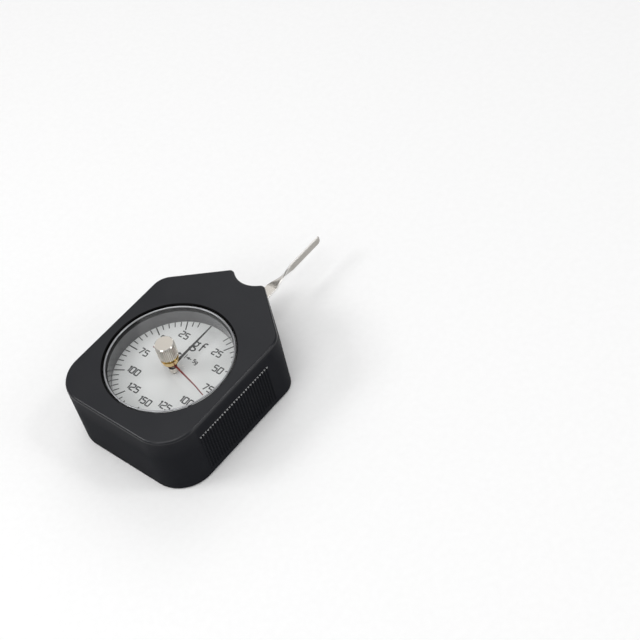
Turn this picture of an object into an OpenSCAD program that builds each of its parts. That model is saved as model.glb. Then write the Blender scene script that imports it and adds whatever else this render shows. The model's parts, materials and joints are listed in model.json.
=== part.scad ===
// Dial tension gauge: a palm-sized case with a dial, a sprung feeler lever, a measuring
// pointer and a peak pointer that a knurled knob sets back.
// The dial axis is Z, the case's back lies on Z = 0 and the lever points along +Y.
// All sizes are in millimetres, and angles in degrees.

/* [Case] */
// Width of the case across its flat sides
case_w = 60; // [58:0.5:66]
// Thickness of the case from back to face
case_t = 28; // [27:0.5:32]
// Distance from the dial axis to the lower edge
case_lower = 33; // [32:0.5:38]
// Distance from the dial axis to the corners between sides and shoulders
shoulder_y = 27.3; // [26:0.1:29]
// Distance from the dial axis to the nose corners, before rounding
nose_y = 45; // [44.5:0.1:48]
// Half the distance between the nose corners, before rounding
nose_half = 7.8; // [7.6:0.1:9.5]
// Distance from the dial axis to the bottom of the nose scoop, before rounding
scoop_y = 39.2; // [38.5:0.1:40]
// Radius of the lower corners
lower_r = 13.5; // [10:0.5:16]
// Radius of the shoulder corners
shoulder_r = 8; // [5:0.5:10]
// Radius of the nose tips
nose_r = 2; // [1.5:0.1:2.2]
// Radius of the scoop in the nose
scoop_r = 10; // [7:0.1:10.3]
// Radius of the rounded edge round the face
face_edge_r = 1.1; // [0.6:0.1:1.4]
// Size of the chamfer round the back
back_edge = 0.6; // [0.3:0.1:1]
// Thickness of the side walls
side_wall = 2.5; // [2:0.1:3]
// Thickness of the front wall outside the window
front_wall = 2.5; // [2:0.1:3.5]

/* [Grip ribs] */
// Number of ribs on each side
rib_count = 29; // [15:1:31]
// Distance between ribs
rib_pitch = 1.3; // [1.1:0.05:1.4]
// Height of a rib above the side wall
rib_out = 0.45; // [0.3:0.05:0.6]
// Width of a rib where it meets the wall
rib_foot = 1; // [0.8:0.05:1.05]
// Width of the flat crest of a rib
rib_crest = 0.35; // [0.2:0.05:0.5]
// Distance from the face down to the tops of the ribs
rib_top = 6.4; // [5:0.1:10]
// Height of the sloped ends of the ribs
rib_slope = 0.3; // [0.2:0.1:1.5]
// Distance from the back up to the lower ends of the ribs
rib_bottom = 3; // [1.5:0.1:6]

/* [Rear cover] */
// Thickness of the rear cover
cover_t = 2; // [1.5:0.1:3]
// Width of the housing's rim round the cover
cover_lip = 1.2; // [1:0.1:1.6]
// Gap between the cover and the rim
cover_gap = 0.15; // [0.1:0.01:0.3]
// Radius of the bosses that take the cover screws
boss_r = 2.8; // [2.4:0.1:3.5]
// How deep the bosses run into the walls
boss_merge = 0.6; // [0.3:0.1:1]
// Radius of the cover screws
cover_screw_r = 0.95; // [0.7:0.05:1.2]
// Length of the cover screws
cover_screw_len = 9; // [6:0.5:12]
// Radius of the cover screw heads
cover_head_r = 1.9; // [1.6:0.1:2.2]
// Height of the cover screw heads
cover_head_h = 1.1; // [0.8:0.1:1.3]
// Length of the cross recess in the cover screw heads
cover_recess_len = 2.3; // [1.8:0.1:2.6]
// Width of that recess
cover_recess_w = 0.55; // [0.4:0.05:0.7]
// Depth of that recess
cover_recess_depth = 0.55; // [0.3:0.05:0.7]

/* [Window and dial] */
// Radius of the window in the face
window_r = 25.2; // [24:0.1:26]
// Wall of the round well under the window
well_wall = 2.8; // [2.4:0.1:3.5]
// Chamfer round the window
window_chamfer = 0.3; // [0.1:0.05:0.6]
// Gap between the window wall and the discs in it
seat_gap = 0.25; // [0.1:0.05:0.4]
// Depth of the crystal below the face
crystal_recess = 0.7; // [0.5:0.05:1.2]
// Thickness of the crystal
crystal_t = 1.6; // [1.2:0.1:2]
// Width of the bright ring on the crystal's rim
crystal_ring_w = 0.75; // [0.6:0.05:1.2]
// Gap between that ring and the window wall
crystal_ring_gap = 0.5; // [0.3:0.05:0.8]
// Height of the wall ring between dial and crystal
dial_ring_h = 6.1; // [5.5:0.1:7]
// Thickness of the wall ring
dial_ring_w = 1.35; // [1:0.05:1.6]
// Thickness of the dial
dial_t = 0.5; // [0.4:0.05:1]
// Radius of the hole in the dial
dial_hole_r = 1.3; // [1.1:0.1:1.6]
// Width of the ledge that carries the dial
ledge_w = 3.7; // [3:0.1:4.5]
// Thickness of the ledge
ledge_t = 3.1; // [2.8:0.1:4]

/* [Movement frame] */
// Thickness of the two movement plates
plate_t = 1.2; // [1:0.1:1.5]
// Clear height between the plates
plate_gap = 6.6; // [6.3:0.1:7]
// Gap between the plates and the side walls
plate_side_gap = 0.5; // [0.4:0.1:1.5]
// Width of the tongue that carries the lever pivot
tongue_w = 12; // [10:0.5:14]
// Sideways distance of the pillars from the dial axis
pillar_x = 16.5; // [16:0.1:18]
// Lengthwise distance of the pillars from the dial axis
pillar_y = 14.5; // [13:0.1:16]
// Radius of the pillars
pillar_r = 1.75; // [1.5:0.05:2]
// Radius of the riveted ends of the pillars
pillar_rivet_r = 1; // [0.8:0.05:1.2]
// Radius of the movement screws
movement_screw_r = 0.8; // [0.6:0.05:0.9]
// Radius of the movement screw heads
movement_head_r = 1.3; // [1.1:0.05:1.5]
// Height of the movement screw heads
movement_head_h = 0.6; // [0.4:0.05:0.8]
// Width of the slots in the movement screws
movement_slot_w = 0.4; // [0.3:0.05:0.5]
// Depth of those slots
movement_slot_depth = 0.25; // [0.15:0.05:0.35]
// Depth of the screws in the ledge and the pillars
movement_screw_bite = 2.4; // [1.8:0.1:2.6]
// Distance of the plate screws from the ledge's inner edge
plate_screw_inset = 1.3; // [1.1:0.1:1.8]
// Radius of the pivot bushes
bush_r = 2.2; // [2:0.1:2.6]
// How far the bushes stand out of the plates
bush_proud = 0.15; // [0.1:0.05:0.3]

/* [Gear train] */
// Distance from the dial axis to the lever pivot
pivot_y = 32; // [31:0.1:33]
// Turns of the pointer for one turn of the lever
gear_ratio = 12; // [10:1:13]
// Teeth on the pinion
pinion_teeth = 16; // [16:1:20]
// Play between the teeth
gear_backlash = 0.1; // [0.06:0.01:0.14]
// Thickness of the sector gear
sector_t = 1; // [0.8:0.05:1.2]
// Height of the sector gear above the lower plate
sector_lift = 1.4; // [1.2:0.05:1.6]
// Radius of the sector gear's hub
sector_hub_r = 5.2; // [4.9:0.1:6]
// Width of the rim behind the sector teeth
sector_rim = 2.2; // [1.8:0.1:3]
// Width of the sector's spokes
sector_spoke = 1.6; // [1.2:0.1:2]
// Width of the sector's windows at their inner ends
sector_window_foot = 1; // [0.6:0.1:1.6]
// Width of the pinion
pinion_t = 2.2; // [1.6:0.1:2.4]
// Radius of the stop pins
stop_pin_r = 1; // [0.8:0.05:1.2]
// Distance of the stop pins from the lever pivot
stop_pin_reach = 20; // [18:0.5:22]
// Gap between a stop pin and the sector at the end of travel
stop_gap = 0.3; // [0.2:0.05:0.5]

/* [Springs] */
// Thickness of the measuring spring
measuring_spring_t = 0.35; // [0.25:0.05:0.5]
// Turns of the measuring spring
measuring_spring_turns = 3.5; // [2:0.5:4]
// Outer radius of the measuring spring
measuring_spring_r = 7.2; // [6.5:0.1:8]
// Radius of the collet inside the measuring spring
measuring_collet_r = 2.6; // [2.3:0.1:3]
// Thickness of the hairspring
hairspring_t = 0.15; // [0.1:0.05:0.25]
// Turns of the hairspring
hairspring_turns = 5.5; // [3:0.5:6]
// Outer radius of the hairspring
hairspring_r = 5.2; // [4.6:0.1:6]
// Height of the hairspring
hairspring_h = 0.8; // [0.5:0.1:1]
// Radius of the collet inside the hairspring
hairspring_collet_r = 1.8; // [1.5:0.1:2]
// Radius of the studs that hold the outer ends of the springs
stud_r = 0.7; // [0.5:0.05:0.9]
// Gap between a spring and the pieces that hold its ends
spring_gap = 0.1; // [0.05:0.01:0.15]

/* [Lever] */
// Swing of the lever to each side
lever_swing = 15; // [12:1:16]
// Distance from the dial axis to the lever's tip
lever_reach = 83.5; // [78:0.5:90]
// Width of the lever's flat root
lever_root_w = 4.8; // [4.2:0.1:5.4]
// Height of the lever's upright blade
lever_blade_w = 3.4; // [2.8:0.1:4]
// Thickness of the lever
lever_t = 0.8; // [0.6:0.05:1.2]
// Bevel along the lever's edges
lever_bevel = 0.15; // [0.08:0.01:0.2]
// Length of the lever behind its pivot
lever_tail = 5.2; // [4.9:0.1:6]
// Radius of the carrier's round middle under the lever
carrier_r = 3.4; // [3:0.1:4]
// Gap between the lever and the upper plate
lever_top_gap = 1.8; // [1:0.05:2.1]
// Distance from the dial axis to the start of the twist
twist_start = 54; // [51:0.5:56]
// Distance from the dial axis to the end of the twist
twist_end = 66.5; // [64:0.5:70]
// How late the twist gathers along its length, where 1 is even
twist_delay = 0.95; // [0.8:0.05:1.6]
// Distance from the dial axis to the point where the lever starts to narrow
taper_start = 59; // [53:0.5:62]
// Length over which the lever narrows
taper_len = 5; // [3:0.5:8]
// Radius of the blade's rounded lower tip
tip_r = 1.8; // [1:0.1:2.2]
// Share of that rounding on the blade's lower edge
tip_low_share = 0.8; // [0.5:0.05:0.9]
// Share of it on the upper edge
tip_high_share = 0.1; // [0:0.05:0.3]
// Radius of the lever shaft
lever_shaft_r = 1.25; // [1.1:0.05:1.4]
// Radius of the lever shaft's pivots
lever_pivot_r = 0.9; // [0.7:0.05:1]
// Radius of the rivets through the lever
rivet_r = 0.6; // [0.4:0.05:0.7]
// Radius of the rivet heads
rivet_head_r = 1; // [0.8:0.05:1.1]
// Height of the rivet heads
rivet_head_h = 0.35; // [0.2:0.05:0.5]
// Distance of the rivets from the lever pivot
rivet_reach = 3.7; // [3.5:0.1:4]
// Clearance of the lever in its slot
slot_gap = 0.7; // [0.5:0.05:1]

/* [Pointers] */
// Radius of the pointer arbor
arbor_r = 0.75; // [0.65:0.05:0.9]
// Radius of the arbor's lower pivot
arbor_pivot_r = 0.5; // [0.4:0.05:0.6]
// Height of the measuring pointer above the dial
pointer_lift = 2.85; // [2.6:0.05:3.2]
// Thickness of the measuring pointer
pointer_t = 0.3; // [0.2:0.05:0.4]
// Length of the measuring pointer
pointer_len = 21.8; // [20:0.1:22.5]
// Width of the measuring pointer at its hub
pointer_root_w = 1.2; // [0.9:0.05:1.6]
// Width of the measuring pointer at its tip
pointer_tip_w = 0.35; // [0.2:0.05:0.6]
// Radius of the measuring pointer's hub
pointer_hub_r = 1.7; // [1.5:0.05:2.2]
// Radius of the hub's spigot that the pointer sits on
pointer_spigot_r = 1.05; // [1:0.05:1.2]
// Height of the hub below the pointer
pointer_hub_h = 2.3; // [1.2:0.05:2.5]
// Gap between the crystal and the peak pointer
peak_drop = 0.45; // [0.35:0.05:0.7]
// Thickness of the peak pointer
peak_t = 0.25; // [0.2:0.05:0.3]
// Length of the peak pointer
peak_len = 20.3; // [18:0.1:22]
// Distance from the dial axis to the peak pointer's bend
peak_bend_at = 15.6; // [12:0.1:17]
// How far the peak pointer's end drops past its bend
peak_bend_drop = 1.35; // [0.5:0.05:1.6]
// Length of the peak pointer's tail
peak_tail = 10.8; // [6:0.1:14]
// Width of the peak pointer's tail
peak_tail_w = 1.8; // [1.2:0.1:2.6]
// Width of the peak pointer at its hub
peak_root_w = 0.8; // [0.6:0.05:1.4]
// Width of the peak pointer at its tip
peak_tip_w = 0.35; // [0.2:0.05:0.6]
// Angle of the peak pointer at rest, clockwise from the lever
peak_angle = 103.4; // [0:0.1:360]
// Radius of the peak pointer's hub
peak_hub_r = 2; // [1.6:0.05:2.4]
// Radius of the peak pointer's eye round its hub
peak_eye_r = 2.7; // [2.6:0.05:3.2]
// Height of that hub below the peak pointer
peak_hub_h = 0.8; // [0.5:0.05:1]

/* [Reset knob] */
// Radius of the knob over its knurl
knob_r = 3.75; // [3.4:0.05:4.5]
// Height of the knob
knob_h = 6.7; // [5.5:0.1:9]
// Number of knurl ridges
knurl_count = 32; // [24:1:40]
// Depth of the knurl
knurl_depth = 0.25; // [0.15:0.05:0.35]
// Chamfer at both ends of the knob
knob_chamfer = 0.4; // [0.2:0.05:0.6]
// Radius of the stem
stem_r = 1; // [0.8:0.05:1.2]
// Depth of the stem in the knob
stem_bite = 4; // [3:0.1:4.5]
// Radius of the bush's flange on the crystal
knob_bush_flange_r = 3.45; // [3.4:0.05:4]
// Height of that flange
knob_bush_flange_h = 0.45; // [0.3:0.05:1]
// Radius of the neck above the flange
knob_bush_neck_r = 2.8; // [2.4:0.05:3]
// Height of the neck
knob_bush_neck_h = 0.2; // [0.1:0.05:0.4]
// Radius of the step above the neck
knob_bush_step_r = 3.2; // [3:0.05:3.35]
// Height of the step
knob_bush_step_h = 0.55; // [0.2:0.05:1]
// Radius of the bush's barrel in the crystal
knob_bush_barrel_r = 3.1; // [2.6:0.05:3.2]
// Radius of the friction washer under the knob
washer_r = 2.5; // [2:0.1:3]
// Thickness of the friction washer
washer_t = 0.25; // [0.15:0.05:0.4]
// Gap between the friction washer and the bush
washer_gap = 0.05; // [0.03:0.01:0.1]

/* [Fits] */
// Radial clearance of shafts that turn in bushes
run_gap = 0.04; // [0.02:0.01:0.08]
// Radial clearance of pieces that are fixed in holes
press_gap = 0.02; // [0.01:0.01:0.05]
// End play of the shafts between their bushes
end_play = 0.1; // [0.05:0.01:0.15]

/* [Hidden] */

$fn = 64;
// Overlap that keeps cuts clear of the faces they pass through
cut = 1;
// Points on one turn of a spring, and on an arc of the sector's windows
spring_steps = 24;
arc_steps = 8;
// Least radius of a corner that is moved in
least_corner_r = 0.2;

// Heights of the stack below the face
crystal_z1 = case_t - crystal_recess;
crystal_z0 = crystal_z1 - crystal_t;
dial_z1 = crystal_z0 - dial_ring_h;
dial_z0 = dial_z1 - dial_t;
ledge_z0 = dial_z0 - ledge_t;
ceiling_z = case_t - front_wall;

// Heights of the movement plates
upper_z1 = ledge_z0;
upper_z0 = upper_z1 - plate_t;
lower_z1 = upper_z0 - plate_gap;
lower_z0 = lower_z1 - plate_t;

// Heights of the gear train, the springs and the lever
sector_z0 = lower_z1 + sector_lift;
sector_z1 = sector_z0 + sector_t;
pinion_z0 = (sector_z0 + sector_z1 - pinion_t) / 2;
pinion_z1 = pinion_z0 + pinion_t;
lever_z1 = upper_z0 - lever_top_gap;
lever_z0 = lever_z1 - lever_t;
lever_zc = (lever_z0 + lever_z1) / 2;
shaft_z0 = lower_z1 + bush_proud + end_play;
shaft_z1 = upper_z0 - bush_proud - end_play;
measuring_spring_z1 = sector_z0 - spring_gap;
hairspring_z0 = (pinion_z1 + upper_z0 - bush_proud - hairspring_h) / 2;
hairspring_z1 = hairspring_z0 + hairspring_h;

// Heights of the pointers, the bush and the knob
pointer_z0 = dial_z1 + pointer_lift;
pointer_z1 = pointer_z0 + pointer_t;
peak_z1 = crystal_z0 - peak_drop;
peak_z0 = peak_z1 - peak_t;
peak_hub_z0 = peak_z0 - peak_hub_h;
peak_hub_z1 = peak_z1 + peak_t;
flange_z1 = crystal_z1 + knob_bush_flange_h;
neck_z1 = flange_z1 + knob_bush_neck_h;
bush_top_z = neck_z1 + knob_bush_step_h;
washer_z0 = bush_top_z + washer_gap;
knob_z0 = washer_z0 + washer_t;
knob_z1 = knob_z0 + knob_h;

// Radii round the dial axis
seat_r = window_r - seat_gap;
ledge_r = window_r - ledge_w;
well_r = window_r + well_wall;
ring_r = window_r - crystal_ring_gap - crystal_ring_w / 2;
plate_r = case_w / 2 - side_wall - plate_side_gap;
plate_screw_ring = ledge_r + plate_screw_inset;

// Gear sizes from the distance between the two axes
gear_module = 2 * pivot_y / (pinion_teeth * (1 + gear_ratio));
pinion_r = gear_module * pinion_teeth / 2;
sector_r = pinion_r * gear_ratio;
tooth_pitch = 360 / (pinion_teeth * gear_ratio);
sector_teeth = 2 * ceil(lever_swing / tooth_pitch) + 4;
sector_half_angle = tooth_pitch * sector_teeth / 2;
pressure_angle = 20;
addendum = 0.9 * gear_module;
dedendum = 1.2 * gear_module;
tooth_w = PI * gear_module / 2 - gear_backlash / 2;

// Angle of the stop pins from the lever's rest line
stop_angle = lever_swing + sector_half_angle + asin((stop_pin_r + stop_gap) / stop_pin_reach);

// Directions in which the springs' outer ends lie: the measuring spring's is towards the dial axis
measuring_spring_end = -90;
hairspring_end = 180;

// Half height and half width of the lever's slot
slot_half_h = lever_t / 2 + slot_gap;
slot_half_w = lever_root_w / 2 / cos(lever_swing) + (nose_y - pivot_y) * tan(lever_swing);

// Colours as they look on the object
case_colour = "#2e2f31";
nickel = "#cfc8bf";
brass = "#c9a25a";
steel = "#a9abad";

// Bottom of the nose scoop, and the length of the lever's slot through the wall behind it
scoop_bottom_y = scoop_y + scoop_r * (norm([nose_half, nose_y - scoop_y]) / nose_half - 1);
slot_run = nose_y - scoop_bottom_y + side_wall + 2 * cut;

// Corners of the case from above, each with its radius and its number of arc steps
function case_corners() = [
    [case_w / 2, -case_lower, lower_r, 16],
    [case_w / 2, shoulder_y, shoulder_r, 10],
    [nose_half, nose_y, nose_r, 8],
    [0, scoop_y, scoop_r, 16],
    [-nose_half, nose_y, nose_r, 8],
    [-case_w / 2, shoulder_y, shoulder_r, 10],
    [-case_w / 2, -case_lower, lower_r, 16]
];

// Corners of the same outline with a straight front at the bottom of the scoop
shoulder_run = (case_w / 2 - nose_half) / (nose_y - shoulder_y);
front_half = case_w / 2 - (scoop_bottom_y - shoulder_y) * shoulder_run;
function chamber_corners() = [
    [case_w / 2, -case_lower, lower_r, 12],
    [case_w / 2, shoulder_y, shoulder_r, 6],
    [front_half, scoop_bottom_y, nose_r, 4],
    [-front_half, scoop_bottom_y, nose_r, 4],
    [-case_w / 2, shoulder_y, shoulder_r, 6],
    [-case_w / 2, -case_lower, lower_r, 12]
];

function unit(v) = v / norm(v);
function left_of(v) = [-v[1], v[0]];
function turn(a, b) = atan2(a[0] * b[1] - a[1] * b[0], a * b);
function flat(lists) = [for (list = lists) for (item = list) item];
function smooth(t) = t <= 0 ? 0 : t >= 1 ? 1 : t * t * (3 - 2 * t);

// One corner moved in by d, with its radius kept concentric
function inset_corner(c, before, after, d) =
    let (a = unit([c[0] - before[0], c[1] - before[1]]))
    let (b = unit([after[0] - c[0], after[1] - c[1]]))
    let (shift = d / (1 + left_of(a) * left_of(b)) * (left_of(a) + left_of(b)))
    let (radius = max(least_corner_r, c[2] - d * sign(turn(a, b))))
    [c[0] + shift[0], c[1] + shift[1], radius, c[3]];

function inset(corners, d) =
    let (n = len(corners))
    [for (i = [0 : n - 1]) inset_corner(corners[i], corners[(i + n - 1) % n], corners[(i + 1) % n], d)];

// Arc that rounds one corner
function corner_arc(c, before, after) =
    let (p = [c[0], c[1]])
    let (a = unit(p - [before[0], before[1]]))
    let (b = unit([after[0], after[1]] - p))
    let (bend = turn(a, b))
    let (start = p - c[2] * tan(abs(bend) / 2) * a)
    let (centre = start + sign(bend) * c[2] * left_of(a))
    [for (i = [0 : c[3]])
        let (s = bend * i / c[3])
        let (v = start - centre)
        centre + [v[0] * cos(s) - v[1] * sin(s), v[0] * sin(s) + v[1] * cos(s)]];

function rounded(corners) =
    let (n = len(corners))
    flat([for (i = [0 : n - 1]) corner_arc(corners[i], corners[(i + n - 1) % n], corners[(i + 1) % n])]);

// Solid through a stack of rings that have the same number of points
module loft(rings) {
    n = len(rings[0]);
    top = (len(rings) - 1) * n;
    sides = [for (k = [0 : len(rings) - 2]) for (i = [0 : n - 1])
        let (j = (i + 1) % n)
        [k * n + i, (k + 1) * n + i, (k + 1) * n + j, k * n + j]];
    polyhedron(
        points = flat(rings),
        faces = concat(sides, [[for (i = [0 : n - 1]) i]], [[for (i = [n - 1 : -1 : 0]) top + i]]),
        convexity = 6
    );
}

function at_height(outline, z) = [for (p = outline) [p[0], p[1], z]];

// Outer form of the case, with a chamfered back edge and a rounded face edge
module case_form() {
    edge_steps = 5;
    rings = concat(
        [at_height(rounded(inset(case_corners(), back_edge)), 0)],
        [at_height(rounded(case_corners()), back_edge)],
        [for (i = [0 : edge_steps])
            let (s = 90 * i / edge_steps)
            at_height(
                rounded(inset(case_corners(), face_edge_r * (1 - cos(s)))),
                case_t - face_edge_r * (1 - sin(s))
            )]
    );
    loft(rings);
}

// Ribs of one side in section, standing on the wall
function rib_section() = concat(
    [[-side_wall / 2, -rib_count * rib_pitch / 2]],
    flat([for (i = [0 : rib_count - 1])
        let (y = (i - (rib_count - 1) / 2) * rib_pitch)
        [
            [0, y - rib_foot / 2], [rib_out, y - rib_crest / 2],
            [rib_out, y + rib_crest / 2], [0, y + rib_foot / 2]
        ]]),
    [[-side_wall / 2, rib_count * rib_pitch / 2]]
);

module grip_ribs() {
    rib_z1 = case_t - rib_top;
    intersection() {
        translate([case_w / 2, 0, rib_bottom])
            linear_extrude(rib_z1 - rib_bottom) polygon(rib_section());
        rotate([90, 0, 0])
            linear_extrude(2 * case_lower, center = true)
                polygon([
                    [case_w / 2 - side_wall, rib_bottom],
                    [case_w / 2, rib_bottom],
                    [case_w / 2 + rib_out, rib_bottom + rib_slope],
                    [case_w / 2 + rib_out, rib_z1 - rib_slope],
                    [case_w / 2, rib_z1],
                    [case_w / 2 - side_wall, rib_z1]
                ]);
    }
}

module disc(r, z0, z1) {
    translate([0, 0, z0]) cylinder(r = r, h = z1 - z0);
}

module tube(r, bore, z0, z1) {
    difference() {
        disc(r, z0, z1);
        disc(bore, z0 - cut, z1 + cut);
    }
}

module at_pivot() {
    translate([0, pivot_y, 0]) children();
}

module at_pillars() {
    for (x = [-pillar_x, pillar_x]) for (y = [-pillar_y, pillar_y]) translate([x, y, 0]) children();
}

module at_plate_screws() {
    for (a = [0 : 90 : 270]) rotate(a) translate([plate_screw_ring, 0, 0]) children();
}

// The cover screws sit in the lower corners and under the shoulders
boss_inset = side_wall + boss_r - boss_merge;
shoulder_boss = inset(case_corners(), boss_inset)[1];
lower_boss = [case_w / 2 - lower_r, lower_r - case_lower] + (lower_r - boss_inset) * [cos(45), -sin(45)];
module at_bosses() {
    for (side = [-1, 1]) {
        translate([side * shoulder_boss[0], shoulder_boss[1], 0]) children();
        translate([side * lower_boss[0], lower_boss[1], 0]) children();
    }
}

module at_stop_pins() {
    at_pivot() for (side = [-1, 1]) rotate(side * stop_angle) translate([0, -stop_pin_reach, 0]) children();
}

module at_measuring_stud() {
    at_pivot() rotate(measuring_spring_end)
        translate([measuring_spring_r + measuring_spring_t / 2 + spring_gap + stud_r, 0, 0]) children();
}

module at_hairspring_stud() {
    rotate(hairspring_end)
        translate([hairspring_r + hairspring_t / 2 + spring_gap + stud_r, 0, 0]) children();
}

// Countersunk screw that points up, with a cross recess
module countersunk_screw(r, length, head_r, head_h, gap) {
    difference() {
        rotate_extrude()
            polygon([[0, 0], [head_r + gap, 0], [r + gap, head_h], [r + gap, length], [0, length]]);
        for (a = [0, 90]) rotate(a)
            cube([cover_recess_len, cover_recess_w, 2 * cover_recess_depth], center = true);
    }
}

// Cheese-head screw that points up from the face its head bears on, with a slot
module cheese_screw(length) {
    difference() {
        union() {
            disc(movement_head_r, -movement_head_h, 0);
            disc(movement_screw_r - press_gap, 0, length);
        }
        translate([0, 0, -movement_head_h])
            cube([3 * movement_head_r, movement_slot_w, 2 * movement_slot_depth], center = true);
    }
}

// Flat spiral from one radius to another, whose outer end lies in the direction given
module spiral(r0, r1, turns, end, thickness, height) {
    steps = ceil(turns * spring_steps);
    function ray(i, side) =
        let (r = r0 + (r1 - r0) * i / steps + side * thickness / 2)
        let (a = end - turns * 360 * (1 - i / steps))
        r * [cos(a), sin(a)];
    linear_extrude(height)
        polygon(concat([for (i = [0 : steps]) ray(i, 1)], [for (i = [steps : -1 : 0]) ray(i, -1)]));
}

module front_housing() {
    color(case_colour) difference() {
        union() {
            case_form();
            grip_ribs();
            mirror([1, 0, 0]) grip_ribs();
        }
        difference() {
            translate([0, 0, cover_t])
                linear_extrude(ceiling_z - cover_t) polygon(rounded(inset(chamber_corners(), side_wall)));
            disc(well_r, ledge_z0, case_t);
            at_bosses() disc(boss_r, cover_t - cut, case_t);
        }
        translate([0, 0, -cut])
            linear_extrude(cover_t + cut) polygon(rounded(inset(case_corners(), cover_lip)));
        disc(ledge_r, ledge_z0 - cut, case_t);
        disc(window_r, dial_z0, case_t + cut);
        translate([0, 0, case_t - window_chamfer])
            cylinder(r1 = window_r, r2 = window_r + 2 * window_chamfer, h = 2 * window_chamfer);
        translate([-slot_half_w - slot_gap / 2, scoop_bottom_y - side_wall - cut, lever_zc - slot_half_h])
            cube([2 * slot_half_w + slot_gap, slot_run, 2 * slot_half_h]);
        at_bosses() disc(cover_screw_r, 0, cover_screw_len + cut);
        at_plate_screws() disc(movement_screw_r, ledge_z0 - cut, ledge_z0 + movement_screw_bite + press_gap);
    }
}

module rear_cover() {
    color(case_colour) difference() {
        linear_extrude(cover_t) polygon(rounded(inset(case_corners(), cover_lip + cover_gap)));
        at_bosses() rotate_extrude()
            polygon([
                [0, -cut],
                [cover_head_r + press_gap, -cut],
                [cover_head_r + press_gap, 0],
                [cover_screw_r + press_gap, cover_head_h],
                [cover_screw_r + press_gap, cover_t + cut],
                [0, cover_t + cut]
            ]);
    }
}

module cover_screws() {
    color(steel) at_bosses()
        countersunk_screw(cover_screw_r, cover_screw_len, cover_head_r, cover_head_h, -press_gap);
}

module crystal() {
    color("#dfe6e6", 0.35) tube(seat_r, knob_bush_barrel_r + press_gap, crystal_z0, crystal_z1);
}

module crystal_ring() {
    color(nickel) translate([0, 0, crystal_z1]) rotate_extrude() translate([ring_r, 0]) intersection() {
        circle(crystal_ring_w / 2);
        translate([-crystal_ring_w, 0]) square(2 * crystal_ring_w);
    }
}

module dial_ring() {
    color("#7d7e80") tube(seat_r, seat_r - dial_ring_w, dial_z1, crystal_z0);
}

module dial_plate() {
    color("#d8d9d6") tube(seat_r, dial_hole_r, dial_z0, dial_z1);
}

// Outline of the movement plates: a disc with a tongue out to the lever pivot
module plate_blank(z0) {
    translate([0, 0, z0]) linear_extrude(plate_t) {
        circle(plate_r);
        translate([-tongue_w / 2, 0]) square([tongue_w, pivot_y]);
        translate([0, pivot_y]) circle(tongue_w / 2);
    }
}

module upper_plate() {
    color(brass) difference() {
        plate_blank(upper_z0);
        disc(bush_r + press_gap, upper_z0 - cut, upper_z1 + cut);
        at_pivot() disc(bush_r + press_gap, upper_z0 - cut, upper_z1 + cut);
        at_pillars() disc(pillar_rivet_r + press_gap, upper_z0 - cut, upper_z1 + cut);
        at_plate_screws() disc(movement_screw_r + press_gap, upper_z0 - cut, upper_z1 + cut);
        at_hairspring_stud() disc(stud_r + press_gap, upper_z0 - cut, upper_z1 + cut);
    }
}

module lower_plate() {
    color(brass) difference() {
        plate_blank(lower_z0);
        disc(bush_r + press_gap, lower_z0 - cut, lower_z1 + cut);
        at_pivot() disc(bush_r + press_gap, lower_z0 - cut, lower_z1 + cut);
        at_pillars() disc(movement_screw_r + press_gap, lower_z0 - cut, lower_z1 + cut);
        at_stop_pins() disc(stop_pin_r + press_gap, lower_z0 - cut, lower_z1 + cut);
        at_measuring_stud() disc(stud_r + press_gap, lower_z0 - cut, lower_z1 + cut);
    }
}

module plate_pillars() {
    color(steel) at_pillars() difference() {
        union() {
            disc(pillar_r, lower_z1, upper_z0);
            disc(pillar_rivet_r, upper_z0, upper_z1);
        }
        disc(movement_screw_r, lower_z1 - cut, lower_z1 + movement_screw_bite + press_gap);
    }
}

module pillar_screws() {
    color(steel) at_pillars() translate([0, 0, lower_z0]) cheese_screw(plate_t + movement_screw_bite);
}

module plate_screws() {
    color(steel) at_plate_screws() translate([0, 0, upper_z0]) cheese_screw(plate_t + movement_screw_bite);
}

module arbor_lower_bush() {
    color(brass) tube(bush_r, arbor_pivot_r + run_gap, lower_z0 - bush_proud, lower_z1 + bush_proud);
}

module arbor_upper_bush() {
    color(brass) tube(bush_r, arbor_r + run_gap, upper_z0 - bush_proud, upper_z1 + bush_proud);
}

module lever_lower_bush() {
    color(brass) at_pivot()
        tube(bush_r, lever_pivot_r + run_gap, lower_z0 - bush_proud, lower_z1 + bush_proud);
}

// Flush with the face of the plate that seats on the ledge
module lever_upper_bush() {
    color(brass) at_pivot() tube(bush_r, lever_pivot_r + run_gap, upper_z0 - bush_proud, upper_z1);
}

module hairspring_stud() {
    color(steel) at_hairspring_stud() disc(stud_r, hairspring_z0, upper_z1);
}

module measuring_spring_stud() {
    color(steel) at_measuring_stud() disc(stud_r, lower_z0, measuring_spring_z1);
}

module stop_pins() {
    color(steel) at_stop_pins() disc(stop_pin_r, lower_z0, sector_z1 + sector_t / 2);
}

module hairspring() {
    color("#4a5a78") translate([0, 0, hairspring_z0])
        spiral(
            hairspring_collet_r + spring_gap + hairspring_t / 2,
            hairspring_r, hairspring_turns, hairspring_end, hairspring_t, hairspring_h
        );
}

module measuring_spring() {
    color("#4a5a78") at_pivot() translate([0, 0, shaft_z0])
        spiral(
            measuring_collet_r + spring_gap + measuring_spring_t / 2,
            measuring_spring_r, measuring_spring_turns, measuring_spring_end, measuring_spring_t,
            measuring_spring_z1 - shaft_z0
        );
}

module knob_bush() {
    color(brass) difference() {
        union() {
            disc(knob_bush_barrel_r, crystal_z0, crystal_z1);
            disc(knob_bush_flange_r, crystal_z1, flange_z1);
            disc(knob_bush_neck_r, flange_z1, neck_z1);
            disc(knob_bush_step_r, neck_z1, bush_top_z);
        }
        disc(stem_r + run_gap, crystal_z0 - cut, bush_top_z + cut);
    }
}

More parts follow.
